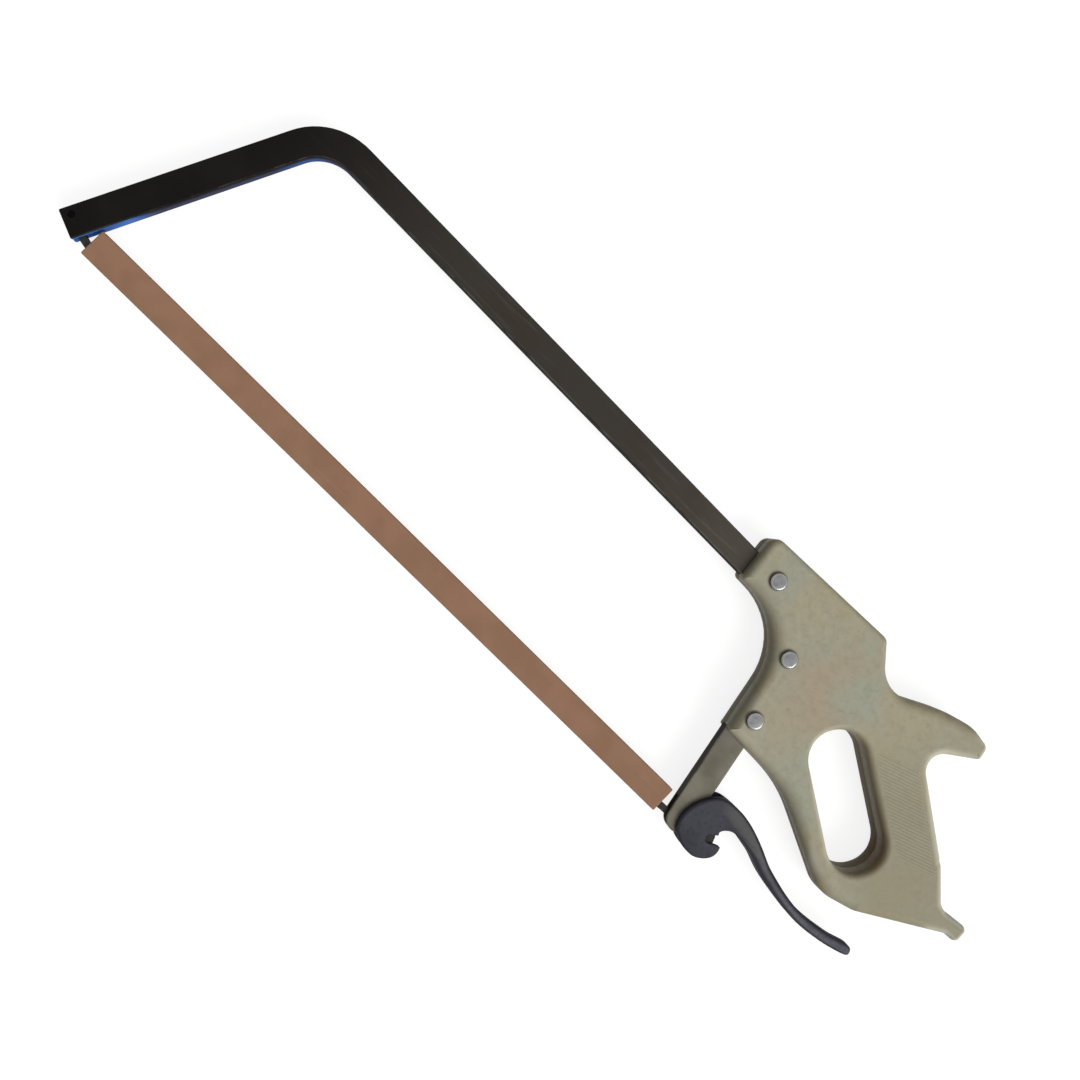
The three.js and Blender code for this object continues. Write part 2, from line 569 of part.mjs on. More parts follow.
addPiece('bow_frame', bowFrame(), DARK_STEEL);
addPiece('handle_left', handleHalf(1), IVORY_PLASTIC);
addPiece('handle_right', handleHalf(-1), IVORY_PLASTIC);
Object.entries(dowelPlaces).forEach(([name, at]) => {
  addPiece(`grip_dowel_${name}`, crossRod(at, DOWEL_RADIUS, DOWEL_LENGTH), BRIGHT_STEEL);
});
Object.entries(boltPlaces).forEach(([name, at]) => {
  addPiece(`saw_bolt_${name}`, sawBolt(at), ALUMINIUM);
  addPiece(`saw_nut_${name}`, sawNut(at), ALUMINIUM);
});
addPiece('front_hook', frontHook(), PIN_STEEL);
addPiece('front_hook_pin', crossRod(frontHookPin, FRONT_HOOK_PIN_RADIUS, BAR_THICKNESS - 2 * CLEARANCE), PIN_STEEL);
addPiece('blade', blade(), BRIGHT_STEEL);
addPiece('blade_pin_front', crossRod(frontPin, BLADE_PIN_RADIUS, HOOK_THICKNESS), PIN_STEEL);
addPiece('blade_pin_rear', crossRod(rearPin, BLADE_PIN_RADIUS, HOOK_THICKNESS), PIN_STEEL);
addPiece('blade_guard', bladeGuard(), BROWN_PLASTIC);
addPiece('tension_lever', tensionLever(), CAST_IRON);
addPiece('lever_pivot_pin', crossRod(pivot, LEVER_PIVOT_RADIUS, LEVER_THICKNESS - 2 * CLEARANCE), PIN_STEEL);
addPiece('draw_link', drawLink(), PIN_STEEL);
addPiece('draw_link_pin', crossRod(linkPin, LINK_PIN_RADIUS, LEVER_THICKNESS - 2 * LINK_PIN_RECESS), PIN_STEEL);

// The saw lies on its nuts: the origin is under the middle of its box.
const box = new THREE.Box3().setFromObject(saw);
const centre = box.getCenter(new THREE.Vector3());
saw.position.set(-centre.x, -centre.y, -box.min.z);

export default saw;
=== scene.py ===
"""Butcher's bow saw lying on its side: steel bow, two-part handle, sheathed blade and scroll lever."""
import json
import bpy
import numpy as np
from mathutils import Matrix, Vector
from mathutils.geometry import tessellate_polygon


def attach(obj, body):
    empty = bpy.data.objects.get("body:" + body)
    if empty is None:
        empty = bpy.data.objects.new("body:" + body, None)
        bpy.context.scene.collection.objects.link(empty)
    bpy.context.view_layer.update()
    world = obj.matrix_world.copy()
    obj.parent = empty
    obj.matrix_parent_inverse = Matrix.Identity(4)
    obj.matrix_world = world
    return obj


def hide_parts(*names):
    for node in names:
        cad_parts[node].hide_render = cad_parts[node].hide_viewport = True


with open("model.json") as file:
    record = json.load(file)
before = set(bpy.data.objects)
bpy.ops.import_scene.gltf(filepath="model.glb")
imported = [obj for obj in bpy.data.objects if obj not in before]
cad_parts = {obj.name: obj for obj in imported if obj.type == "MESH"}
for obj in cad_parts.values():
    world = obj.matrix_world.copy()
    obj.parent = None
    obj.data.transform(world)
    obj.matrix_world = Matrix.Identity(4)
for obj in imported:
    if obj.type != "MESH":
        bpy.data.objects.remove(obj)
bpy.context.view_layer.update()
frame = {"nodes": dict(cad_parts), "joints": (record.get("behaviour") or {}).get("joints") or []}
scene = bpy.context.scene

# Studio: the saw lies on a white sheet below a hand-held camera, lit softly from the handle's end.
# The camera, and whatever metal mirrors, sees the sheet and the room as white.
CAMERA_REACH = (-0.2723, 0.0331, 0.6237)
FLOOR_REACH = 4
pivot = np.array(next(row["pos_m"] for row in frame["joints"] if row["name"] == "lever_swing"))

camera = bpy.data.objects.new("camera", bpy.data.cameras.new("camera"))
camera.data.lens = 31.93
camera.data.sensor_width = 36
camera.data.clip_start = 0.01
right = (0.7029, 0.7021, 0.1140)
down = (0.7027, -0.7102, 0.0414)
forward = (0.1100, 0.0510, -0.9926)
turned_to = Matrix([right, [-c for c in down], [-c for c in forward]]).transposed().to_4x4()
camera.matrix_world = Matrix.Translation(Vector(pivot) + Vector(CAMERA_REACH)) @ turned_to
scene.collection.objects.link(camera)
scene.camera = camera
scene.view_settings.view_transform = "Standard"


def soft_lamp(name, towards, breadth, power, colour):
    """Broad, far lamp whose light is even over the whole saw."""
    lamp = bpy.data.objects.new(name, bpy.data.lights.new(name, "SUN"))
    lamp.data.angle = breadth
    lamp.data.energy = power
    lamp.data.color = colour
    lamp.rotation_euler = (-Vector(towards)).to_track_quat("-Z", "Y").to_euler()
    scene.collection.objects.link(lamp)


soft_lamp("window", (1.0, -0.12, 0.85), 0.6, 1.9, (1.0, 0.985, 0.95))
soft_lamp("ceiling", (0.25, 0.2, 1.0), 1.2, 0.5, (1.0, 0.99, 0.97))


class Field:
    """One output of a node tree. Sums, differences and products of fields add Math nodes."""

    def __init__(self, tree, socket):
        self.tree = tree
        self.socket = socket

    def node(self, kind, settings, inputs, output=0):
        """Adds any other node: its settings first, then a value or a link for each of its sockets."""
        added = self.tree.nodes.new("ShaderNode" + kind)
        for name, value in settings.items():
            setattr(added, name, value)
        for key, value in inputs.items():
            if isinstance(value, Field):
                self.tree.links.new(value.socket, added.inputs[key])
            else:
                added.inputs[key].default_value = value
        return Field(self.tree, added.outputs[output])

    def math(self, operation, first, second):
        return self.node("Math", {"operation": operation}, {0: first, 1: second})

    def __add__(self, other):
        return self.math("ADD", self, other)

    def __radd__(self, other):
        return self.math("ADD", other, self)

    def __sub__(self, other):
        return self.math("SUBTRACT", self, other)

    def __rsub__(self, other):
        return self.math("SUBTRACT", other, self)

    def __mul__(self, other):
        return self.math("MULTIPLY", self, other)

    def __rmul__(self, other):
        return self.math("MULTIPLY", other, self)


def feed(field, node, socket):
    field.tree.links.new(field.socket, node.inputs[socket])


def between(field, low, high):
    """Rises smoothly from 0 to 1 as the field goes from low to high."""
    return field.node("MapRange", {"interpolation_type": "SMOOTHSTEP"},
                      {"Value": field, "From Min": low, "From Max": high})


def mixed(mask, under, over):
    """Colour that goes from one to another with the mask."""
    return mask.node("Mix", {"data_type": "RGBA"}, {0: mask, 6: under, 7: over}, 2)


def along(field, direction, start=0.0):
    """Distance of a place along a direction."""
    return field.node("VectorMath", {"operation": "DOT_PRODUCT"}, {0: field, 1: direction}, "Value") - start


def shown(tree):
    """1 for the rays that see the background: straight from the camera, off metal or through glass."""
    path = Field(tree, tree.nodes.new("ShaderNodeLightPath").outputs["Is Camera Ray"])
    glossy = path.node("LightPath", {}, {}, "Is Glossy Ray")
    passed = path.node("LightPath", {}, {}, "Is Transmission Ray")
    return path.math("MINIMUM", path + glossy + passed, 1.0)


world = bpy.data.worlds.new("room")
world.use_nodes = True
scene.world = world
sky = world.node_tree.nodes["Background"]
looking = Field(world.node_tree, world.node_tree.nodes.new("ShaderNodeTexCoord").outputs["Generated"])
towards_window = between(along(looking, (1.0, 0.0, 0.0)), -0.5, 0.75)
room = mixed(towards_window, (0.13, 0.135, 0.14, 1), (0.62, 0.62, 0.61, 1))
feed(mixed(shown(world.node_tree), room, (1, 1, 1, 1)), sky, "Color")

floor_mesh = bpy.data.meshes.new("floor")
sheet_corners = [(FLOOR_REACH * x, FLOOR_REACH * y, 0) for x, y in ((-1, -1), (1, -1), (1, 1), (-1, 1))]
floor_mesh.from_pydata(sheet_corners, [], [(0, 1, 2, 3)])
floor = bpy.data.objects.new("floor", floor_mesh)
scene.collection.objects.link(floor)
paper = bpy.data.materials.new("white_sheet")
paper.use_nodes = True
sheet = paper.node_tree.nodes["Principled BSDF"]
sheet.inputs["Base Color"].default_value = (0.26, 0.26, 0.26, 1)
sheet.inputs["Roughness"].default_value = 0.9
sheet.inputs["Specular IOR Level"].default_value = 0.0
sheet.inputs["Emission Strength"].default_value = 1.0
feed(mixed(shown(paper.node_tree), (0, 0, 0, 1), (0.84, 0.84, 0.84, 1)), sheet, "Emission Color")
floor_mesh.materials.append(paper)


# Bow: one flat bar of dark, oiled steel bent at both corners, its edges broken by a file.
# Each arm's end is sawn up the middle for a hook, and a painted blue reflection lies along the front arm's
# inner edge.
# Sizes are in mm round the lever's pivot.
MM = 0.001
BAR_WIDTH, BAR_HALF, BAR_EDGE = 19.0, 4.75, 0.9
BLADE_FRONT, FRONT_GAP, TIP_DROP = -529.0, 5.5, 4.8
BOW_HEIGHT, FRONT_BEND, REAR_BEND = 153.5, 36, 30
FRONT_KERF, REAR_KERF, KERF_HALF = 20, 21, 2.3
CORE_OVERLAP, CORE_INSET, TIP_FILED = 0.3, 0.02, 0.55
PIN_BACK, PIN_ASIDE, PIN_HOLE, HOLE_EDGE = 6.7, 4.3, 2.2, 0.25
ARC_FACETS, ROUND_FACETS, HOLE_FACETS = 12, 8, 32
NEAREST, CLOSING_SHARE, UNBOUNDED = 0.1, 0.9, 1e6


def srgb(red, green, blue):
    """Linear colour from the 0 to 255 values that a screen shows."""
    share = np.array([red, green, blue]) / 255
    return (*np.where(share < 0.04045, share / 12.92, ((share + 0.055) / 1.055) ** 2.4).tolist(), 1.0)


def finish(name, **fixed):
    """Material whose unvarying shader sockets are set directly, with its shader and object coordinates."""
    material = bpy.data.materials.new(name)
    material.use_nodes = True
    shader = material.node_tree.nodes["Principled BSDF"]
    for socket, value in fixed.items():
        shader.inputs[socket.replace("_", " ")].default_value = value
    coords = material.node_tree.nodes.new("ShaderNodeTexCoord").outputs["Object"]
    return material, shader, Field(material.node_tree, coords)


def grain(field, scale, detail=3.0, stretch=(1.0, 1.0, 1.0), turn=0.0, rough=0.5):
    """Noise of a scale per metre, drawn out along turned axes by the stretch."""
    laid = field.node("Mapping", {"vector_type": "TEXTURE"},
                      {"Vector": field, "Rotation": (0, 0, turn), "Scale": stretch})
    inputs = {"Vector": laid, "Scale": scale, "Detail": detail, "Roughness": rough}
    return field.node("TexNoise", {}, inputs, "Fac")


def stored_turn(field):
    """Value kept with the mesh at each place: how far its rounded edge has turned from wall to face or,
    on a turned piece, its share of the largest radius."""
    return field.node("Attribute", {"attribute_name": "turn"}, {}, "Fac")


def relief(shader, height, strength, distance):
    """Fine surface height that turns the shader's normal."""
    bump = height.node("Bump", {}, {"Height": height, "Strength": strength, "Distance": distance})
    feed(bump, shader, "Normal")


def rounded_outline(corners):
    """Straight runs joined by tangent arcs. Each row gives a corner's x and y, the radius of its arc and
    the width of the rounded edge there, in mm. Arcs that share too short a run shrink together, arcs that
    nearly meet share a place, and the edge changes evenly between corners. Also gives how far each place
    can move in before its arc closes up, and the way that its corner moves from then on."""
    steps = np.linspace(0, 1, ARC_FACETS + 1)
    corners = np.array(corners, float)
    at, arc, edge = corners[:, :2], corners[:, 2], corners[:, 3]
    ahead = np.roll(at, -1, 0) - at
    run = np.linalg.norm(ahead, axis=1)
    ahead = ahead / run[:, None]
    back = -np.roll(ahead, 1, 0)
    half = np.arccos(np.clip((ahead * back).sum(1), -1, 1)) / 2
    reach = arc / np.tan(half)
    room = np.minimum(1, run / (reach + np.roll(reach, -1)))
    reach = reach * np.minimum(room, np.roll(room, 1))
    inward = ahead + back
    inward = inward / np.linalg.norm(inward, axis=1)[:, None]
    middle = at + inward * (reach / np.cos(half))[:, None]
    start = at + back * reach[:, None] - middle
    turn = (np.pi - 2 * half) * np.sign(ahead[:, 0] * back[:, 1] - ahead[:, 1] * back[:, 0])
    angle = turn[:, None] * steps
    x = middle[:, :1] + start[:, :1] * np.cos(angle) - start[:, 1:] * np.sin(angle)
    y = middle[:, 1:] + start[:, :1] * np.sin(angle) + start[:, 1:] * np.cos(angle)
    places = np.stack([x, y], 2)
    gap = np.linalg.norm(places[:, 0] - np.roll(places[:, -1], 1, 0), axis=1)
    keep = np.ones(places.shape[:2], bool)
    keep[:, 0] = gap > NEAREST
    share = np.broadcast_to(steps - 0.5, keep.shape) + np.arange(len(at))[:, None]
    edges = np.interp(share, np.arange(-1, len(at) + 1), np.concatenate([edge[-1:], edge, edge[:1]]))
    closing = np.where(turn > 0, CLOSING_SHARE * reach * np.tan(half), UNBOUNDED)
    bend = np.repeat(closing[:, None], len(steps), 1)
    spike = np.repeat((inward / np.sin(half)[:, None])[:, None], len(steps), 1)
    return places[keep], edges[keep], bend[keep], spike[keep]


def circle(centre, radius, edge):
    """Round hole, run clockwise so that its wall faces inwards."""
    angle = -np.linspace(0, 2 * np.pi, HOLE_FACETS + 1)[:-1]
    places = np.array(centre) + radius * np.stack([np.cos(angle), np.sin(angle)], 1)
    return places, np.full(len(places), edge), np.full(len(places), UNBOUNDED), np.zeros_like(places)


def slab(loops, low, high, round_low=False, round_high=False, depth=1.0, seam=0.0):
    """Profile carried round closed outlines: a wall that turns onto each rounded face through a quarter
    ellipse, as wide as the outline's edge and depth times as deep. Other faces are square, broken by a
    seam, and flat caps close both faces. Gives places in mm, quads, cap triangles, how far the edge has
    turned at each place, and which places are square corners."""
    at, edge, bend, spike = [np.concatenate(columns) for columns in zip(*loops)]
    counts = [len(loop[0]) for loop in loops]
    firsts = np.cumsum([0, *counts[:-1]])
    after = np.concatenate([np.roll(np.arange(n), -1) + first for n, first in zip(counts, firsts)])
    before = np.argsort(after)
    into = at - at[before]
    into = into / np.linalg.norm(into, axis=1)[:, None]
    out = into[after]
    miter = np.stack([into[:, 1] + out[:, 1], -into[:, 0] - out[:, 0]], 1)
    miter = miter / (1 + (into * out).sum(1))[:, None]
    quarter = np.linspace(0, np.pi / 2, ROUND_FACETS + 1)
    rounds = [(edge * (1 - np.cos(t)), depth * edge * (1 - np.sin(t)), t) for t in quarter]
    level = np.ones(len(at))

    def face_rings(face, inwards, is_round):
        """Rings from the wall to one face."""
        if is_round:
            return [(inset, face + inwards * rise, t) for inset, rise, t in rounds]
        wall = (0 * level, (face + inwards * seam) * level, 0.0)
        return [wall, (seam * level, face * level, 0.0)] if seam else [wall]

    rings = face_rings(low, 1, round_low)[::-1] + face_rings(high, -1, round_high)
    inward = [at - miter * np.minimum(inset, bend)[:, None] + spike * np.maximum(inset - bend, 0)[:, None]
              for inset, *_ in rings]
    places = np.concatenate([np.column_stack([place, z]) for place, (_, z, _) in zip(inward, rings)])
    turn = np.repeat([t / (np.pi / 2) for *_, t in rings], len(at))
    size = len(at)
    base = (np.arange(len(rings) - 1) * size)[:, None]
    here, there = base + np.arange(size), base + after
    quads = np.stack([here, there, there + size, here + size], 2).reshape(-1, 4)

    def cap(ring):
        flat = places[ring * size:(ring + 1) * size, :2]
        split = [flat[first:first + n] for first, n in zip(firsts, counts)]
        corners = np.array(tessellate_polygon([loop.tolist() for loop in split]))
        a, b, c = flat[corners[:, 0]], flat[corners[:, 1]], flat[corners[:, 2]]
        clockwise = (b - a)[:, 0] * (c - a)[:, 1] < (b - a)[:, 1] * (c - a)[:, 0]
        corners[clockwise] = corners[clockwise][:, ::-1]
        return corners + ring * size

    top = cap(len(rings) - 1)
    under = cap(0)[:, ::-1]
    square = np.zeros(len(places), bool)
    square[:size] = not round_low
    square[-size:] |= not round_high
    return places, quads, np.concatenate([top, under]), turn, square


def make_piece(name, parts, material, body, slot, *nodes):
    """One object from parts that share a material: walls shade smoothly, caps flat, and square corners stay
    crisp. Its places go from mm round the lever's pivot to metres, and it stands for the named nodes."""
    starts = np.cumsum([0] + [len(part[0]) for part in parts[:-1]])
    places = np.concatenate([part[0] for part in parts]) * MM + pivot
    quads = np.concatenate([part[1] + start for part, start in zip(parts, starts)])
    caps = np.concatenate([part[2] + start for part, start in zip(parts, starts)])
    turn = np.concatenate([part[3] for part in parts])
    square = np.concatenate([part[4] for part in parts])
    mesh = bpy.data.meshes.new(name)
    mesh.from_pydata(places.tolist(), [], quads.tolist() + caps.tolist())
    smooth = np.arange(len(mesh.polygons)) < len(quads)
    mesh.polygons.foreach_set("use_smooth", smooth)
    ends = np.zeros(2 * len(mesh.edges), np.int32)
    mesh.edges.foreach_get("vertices", ends)
    crisp = mesh.attributes.new("sharp_edge", "BOOLEAN", "EDGE")
    crisp.data.foreach_set("value", square[ends.reshape(-1, 2)].all(1))
    mesh.attributes.new("turn", "FLOAT", "POINT").data.foreach_set("value", turn.astype(np.float32))
    mesh.materials.append(material)
    piece = bpy.data.objects.new(name, mesh)
    scene.collection.objects.link(piece)
    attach(piece, body)
    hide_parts(*nodes)


front_rake, rear_lean = np.radians(24), np.radians(10.4)
front_down = np.array([-np.sin(front_rake), -np.cos(front_rake)])
rear_down = np.array([np.sin(rear_lean), -np.cos(rear_lean)])
front_crossing = np.array([BLADE_FRONT - FRONT_GAP - BAR_WIDTH / 2 / np.cos(front_rake), 0])
front_tip = front_crossing + TIP_DROP * front_down
front_corner = front_crossing - front_down * BOW_HEIGHT / np.cos(front_rake)
arm_end = np.array([-4.0, -1.0])
rear_corner = arm_end - rear_down * (BOW_HEIGHT - arm_end[1]) / np.cos(rear_lean)
hook_pin = front_tip - PIN_BACK * front_down + PIN_ASIDE * np.array([front_down[1], -front_down[0]])


def bar_outline(front_start, rear_end, end_arc, half):
    """Outline half the bar's width to either side of its middle line, from the front to the rear end."""
    level = np.array([1.0, 0.0])

    def edge_corner(at, into, out, distance):
        normal = np.array([-into[1] - out[1], into[0] + out[0]]) / (1 + into @ out)
        return at + normal * distance

    def side(distance):
        return [
            (*edge_corner(front_start, -front_down, -front_down, distance), 1.1 * BAR_EDGE, BAR_EDGE),
            (*edge_corner(front_corner, -front_down, level, distance), FRONT_BEND + distance, BAR_EDGE),
            (*edge_corner(rear_corner, level, rear_down, distance), REAR_BEND + distance, BAR_EDGE),
            (*edge_corner(rear_end, rear_down, rear_down, distance), end_arc, BAR_EDGE),
        ]

    return rounded_outline(side(-half) + side(half)[::-1])


bow_steel, shader, coords = finish(
    "bow_steel", IOR=1.5, Specular_Tint=(0.3, 0.3, 0.3, 1), Specular_IOR_Level=0.2)
along_bar = along(coords, (1.0, 0.0, 0.0))
length_share = 0.6 * between(along_bar, -0.34, -0.16) + 0.4 * between(along_bar, -0.05, 0.12)
edge_turn = stored_turn(coords)
wall = 1 - between(edge_turn, 0.0, 0.35)
rim = between(edge_turn, 0.0, 0.4) - between(edge_turn, 0.6, 1.0)
cloud = grain(coords, 28, 4)
draw_marks = grain(coords, 420, 3, (14.0, 1.0, 1.0))
speck = grain(coords, 900, 2)
rear_arm = between(along(coords, (0.98, -0.18, 0.0)), 0.13, 0.17)
# The tone lightens from the front arm to the rear arm: partly the steel's own finish, partly painted
# reflection of the room.
tone = mixed(length_share, srgb(22, 20, 20), srgb(64, 60, 55))
tone = mixed(rear_arm, tone, srgb(90, 87, 78))
oil_stain = mixed(length_share, srgb(29, 26, 24), srgb(64, 57, 48))
tone = mixed(between(cloud, 0.42, 0.68) * 0.5, tone, oil_stain)
tone = mixed(between(draw_marks, 0.55, 0.75) * length_share * 0.3, tone, srgb(86, 84, 79))
rubbed_rim = rim * between(grain(coords, 75, 3), 0.4, 0.62) * (0.1 + 0.5 * length_share)
tone = mixed(rubbed_rim, tone, srgb(120, 118, 112))
# The walls are darker than the faces: partly the steel's black scale, partly painted shade.
tone = mixed(wall, tone, mixed(rear_arm, srgb(24, 23, 23), srgb(70, 66, 58)))
# Painted blue reflection on the lower part of the front arm's inner wall: bright blue at the tip, purple
# towards the bend.
inner_way = np.array([-front_down[1], front_down[0], 0])
bend_place = pivot + np.array([*front_corner, 0]) * MM
inner_side = along(coords, inner_way.tolist(), float(bend_place @ inner_way))
tip_glint = 1 - between(along_bar, -0.348, -0.336)
bend_glint = between(along_bar, -0.308, -0.3) - between(along_bar, -0.295, -0.286)
blue_glint = wall * (1 - between(along(coords, (0.0, 0.0, 1.0)) - 0.0035 * tip_glint, 0.014, 0.019))
blue_glint = blue_glint * between(inner_side, 0.004, 0.008) * (1 - between(along_bar, -0.275, -0.25))
blue_glint = blue_glint * (0.6 + 0.4 * between(grain(coords, 30, 2), 0.35, 0.55))
tone = mixed(blue_glint, tone, mixed(tip_glint + 0.6 * bend_glint, srgb(60, 65, 92), srgb(82, 134, 222)))
feed(tone, shader, "Base Color")
feed(0.8 - 0.25 * between(cloud, 0.5, 0.72) - 0.4 * wall, shader, "Metallic")
feed(0.3 + 0.16 * cloud + 0.12 * draw_marks + 0.25 * wall, shader, "Roughness")
relief(shader, draw_marks * 0.6 + speck * 0.5, 0.25, 0.0002)

hook_hole = circle(hook_pin, PIN_HOLE, HOLE_EDGE)
rear_tip = arm_end + rear_down * BAR_WIDTH / 2
whole_bar = bar_outline(front_tip - TIP_FILED * front_down, rear_tip, BAR_WIDTH / 2, BAR_WIDTH / 2)
core = bar_outline(front_tip - FRONT_KERF * front_down, rear_tip - REAR_KERF * rear_down,
                   2 * BAR_EDGE, BAR_WIDTH / 2 - CORE_INSET)
make_piece("bent_bar", [
    slab([whole_bar, hook_hole], KERF_HALF, BAR_HALF, round_high=True),
    slab([whole_bar, hook_hole], -BAR_HALF, -KERF_HALF, round_low=True),
    slab([core], -KERF_HALF - CORE_OVERLAP, KERF_HALF + CORE_OVERLAP),
], bow_steel, "frame", "bow_steel", "bow_frame")


# Handle: two halves moulded in hard ivory plastic, cupped over the bar's rear bend and bolted through it.
# The grip is ribbed on both faces, the hand hole is rounded most on the palm side, and grime yellows it.
# Painted shade darkens its rounded edges, lower grip, rib valleys and hand hole, with a painted shadow
# beside each bolt and painted highlights on edges that face the light.
HANDLE_HALF, PARTING_LINE, EDGE_DEPTH, FLUSH = 13.0, 0.25, 0.9, 0.15
HOLE_HALF_LENGTH, HOLE_HALF_WIDTH = 50.0, 20.5
# The ribs' pitch and the grip's start are in metres.
RIB_WAY, RIB_PITCH, RIB_HEIGHT = np.array([-0.322, 0.947, 0]), 0.0021, 0.17
PAD_ROWS, PAD_COLUMNS, PAD_TURN = 400, 25, 1.1
PAD_SINK, PAD_RISE, PAD_FLOOR = 0.12, 0.14, 0.4
SIDE_FADE, END_FADE = 12, 3
GRIP_START = pivot + np.array([72.8, 138.4, 0]) * MM
GRIP_ALONG, GRIP_ACROSS = np.array([0.718, -0.696, 0]), np.array([0.696, 0.718, 0])
BOLT_SHADOW_SHIFT = np.array([-0.9, 0.1])
hole_turn = np.radians(-32.4)
hole_middle = rear_corner + np.array([102.0, -67.5])
hole_axes = np.array([[np.cos(hole_turn), np.sin(hole_turn)], [-np.sin(hole_turn), np.cos(hole_turn)]])


def from_hole(end, forward, side, outward):
    """Place measured along the hand hole from one of its ends, and across it from one of its sides."""
    reached = np.array([end * HOLE_HALF_LENGTH + forward, side * HOLE_HALF_WIDTH + outward])
    return hole_middle + reached @ hole_axes


def from_bar(x, y):
    """Place measured from the corner of the bar's rear bend."""
    return rear_corner + np.array([x, y])


def arm_front(y):
    """Where the handle's front edge lies at a height: flush with the rear arm's front edge."""
    return -y * np.tan(rear_lean) - (BAR_WIDTH / 2 + FLUSH) / np.cos(rear_lean)


handle_edge = rounded_outline([(*at, arc, edge) for at, arc, edge in [
    (from_bar(-62.5, 24.5), 7, 5),
    (from_bar(-58.5, -12), 4, 6),
    (from_bar(arm_front(-12), -12), 50, 9.5),
    (from_bar(arm_front(-89.5), -89.5), 4, 4),
    (from_hole(-1, 30, -1, -20.2), 100, 10),
    (from_hole(1, 7.3, -1, -10.1), 26, 8.6),
    (from_hole(1, 25, -1, 9), 20, 7),
    (from_hole(1, 59.7, 1, 31), 8, 4.5),
    (from_hole(1, 67.1, 1, 34.4), 4, 4),
    (from_hole(1, 59.5, 1, 46), 4, 4),
    (from_hole(1, 42, 1, 31), 10, 5),
    (from_hole(1, 9, 1, 37.7), 40, 9),
    (from_hole(-1, 30, 1, 40.7), 12, 8),
    (from_hole(-1, 46, 1, 77.9), 4, 4),
    (from_hole(-1, 38.5, 1, 85.8), 6, 4),
    (from_hole(-1, 22.6, 1, 78.6), 25, 7),
    (from_hole(-1, 7.4, 1, 61.5), 80, 9),
    (from_hole(-1, -17, 1, 20.8), 24, 6),
    (from_bar(43.4, 29.9), 9, 3),
]])
hand_hole = rounded_outline([
    (*from_hole(-1, 0, -1, 0), 20, 4),
    (*from_hole(-1, 0, 1, 0), 20, 4.5),
    (*from_hole(1, 0, 1, 0), 20, 5.5),
    (*from_hole(1, 0, -1, 0), 20, 4),
])

arm_forward = np.array([rear_down[1], -rear_down[0]])
BOLT_PLACES = {
    "top": rear_corner + np.array([-39.6, 3.2]),
    "middle": rear_corner + 28.1 * rear_down + 2.3 * arm_forward,
    "lower": rear_corner + 74.6 * rear_down - 1.8 * arm_forward,
}


def plan_place(at):
    """Place in plan, in metres, of one in mm round the lever's pivot."""
    return (*(pivot[:2] + at * MM).tolist(), 0.0)


def apart_from(field, place):
    """Distance of a place from a fixed one."""
    return field.node("VectorMath", {"operation": "DISTANCE"}, {0: field, 1: place}, "Value")


ivory, shader, coords = finish("ivory_plastic", IOR=1.5, Specular_IOR_Level=0.2)
edge_turn = stored_turn(coords)
rounding = 1 - between(edge_turn, 0.35, 1.0)
blotch = grain(coords, 26, 4)
fleck = grain(coords, 330, 3, rough=0.65)
streak = grain(coords, 90, 4, (5.0, 1.0, 1.0), np.radians(-45))
tone = mixed(between(blotch, 0.38, 0.6), srgb(158, 160, 143), srgb(166, 159, 134))
in_plan = coords.node("VectorMath", {"operation": "MULTIPLY"}, {0: coords, 1: (1.0, 1.0, 0.0)}, "Vector")
from_web = apart_from(in_plan, plan_place(from_bar(46.0, -14.0)))
tanned = between(grain(coords, 19, 3), 0.36, 0.62) * (0.9 - 0.65 * between(from_web, 0.02, 0.055))
tone = mixed(tanned, tone, srgb(167, 152, 130))
tone = mixed(between(grain(coords, 140, 4, rough=0.6), 0.42, 0.66) * 0.35, tone, srgb(147, 141, 122))
tone = mixed(between(fleck, 0.5, 0.72) * 0.2, tone, srgb(130, 118, 98))
tone = mixed(between(streak, 0.58, 0.75) * 0.25, tone, srgb(176, 172, 154))
# Rounded edges yellowed by grime, and partly painted shade on them.
tone = mixed(rounding * (0.1 + 0.45 * blotch), tone, srgb(142, 130, 98))
down_grip = along(coords, GRIP_ALONG.tolist(), float(GRIP_START @ GRIP_ALONG))
over_grip = along(coords, GRIP_ACROSS.tolist(), float(GRIP_START @ GRIP_ACROSS))
ribbed = between(edge_turn, 1.02, 1.08)
ribs = coords.math("SINE", along(coords, (RIB_WAY * 2 * np.pi / RIB_PITCH).tolist()), 0.0)
# Painted shade over the lower grip.
grip_shade = between(down_grip, -0.03, 0.05) * between(over_grip, -0.06, -0.02) * 0.75
tone = mixed(grip_shade, tone, srgb(145, 139, 116))
# Painted shade in the valleys between the ribs.
tone = mixed(ribbed * between(0 - ribs, 0.0, 1.0) * 0.16, tone, srgb(118, 110, 88))
# Brown stain on the hand hole's lower rounded edge, partly painted shade on that wall.
lower_hole = (pivot + np.array([*from_hole(1, -12, 1, 4), HANDLE_HALF]) * MM).tolist()
near_hole = 1 - between(apart_from(coords, lower_hole), 0.01, 0.045)
tone = mixed(near_hole * rounding * (0.45 + 0.6 * blotch), tone, srgb(112, 80, 42))
# Painted shade on the hand hole's rounded edge on the side towards the grip's back edge.
inside = 1 - between(apart_from(in_plan, plan_place(hole_middle)), 0.045, 0.06)
tone = mixed(inside * rounding * between(over_grip, -0.05, -0.035) * 0.5, tone, srgb(112, 100, 78))
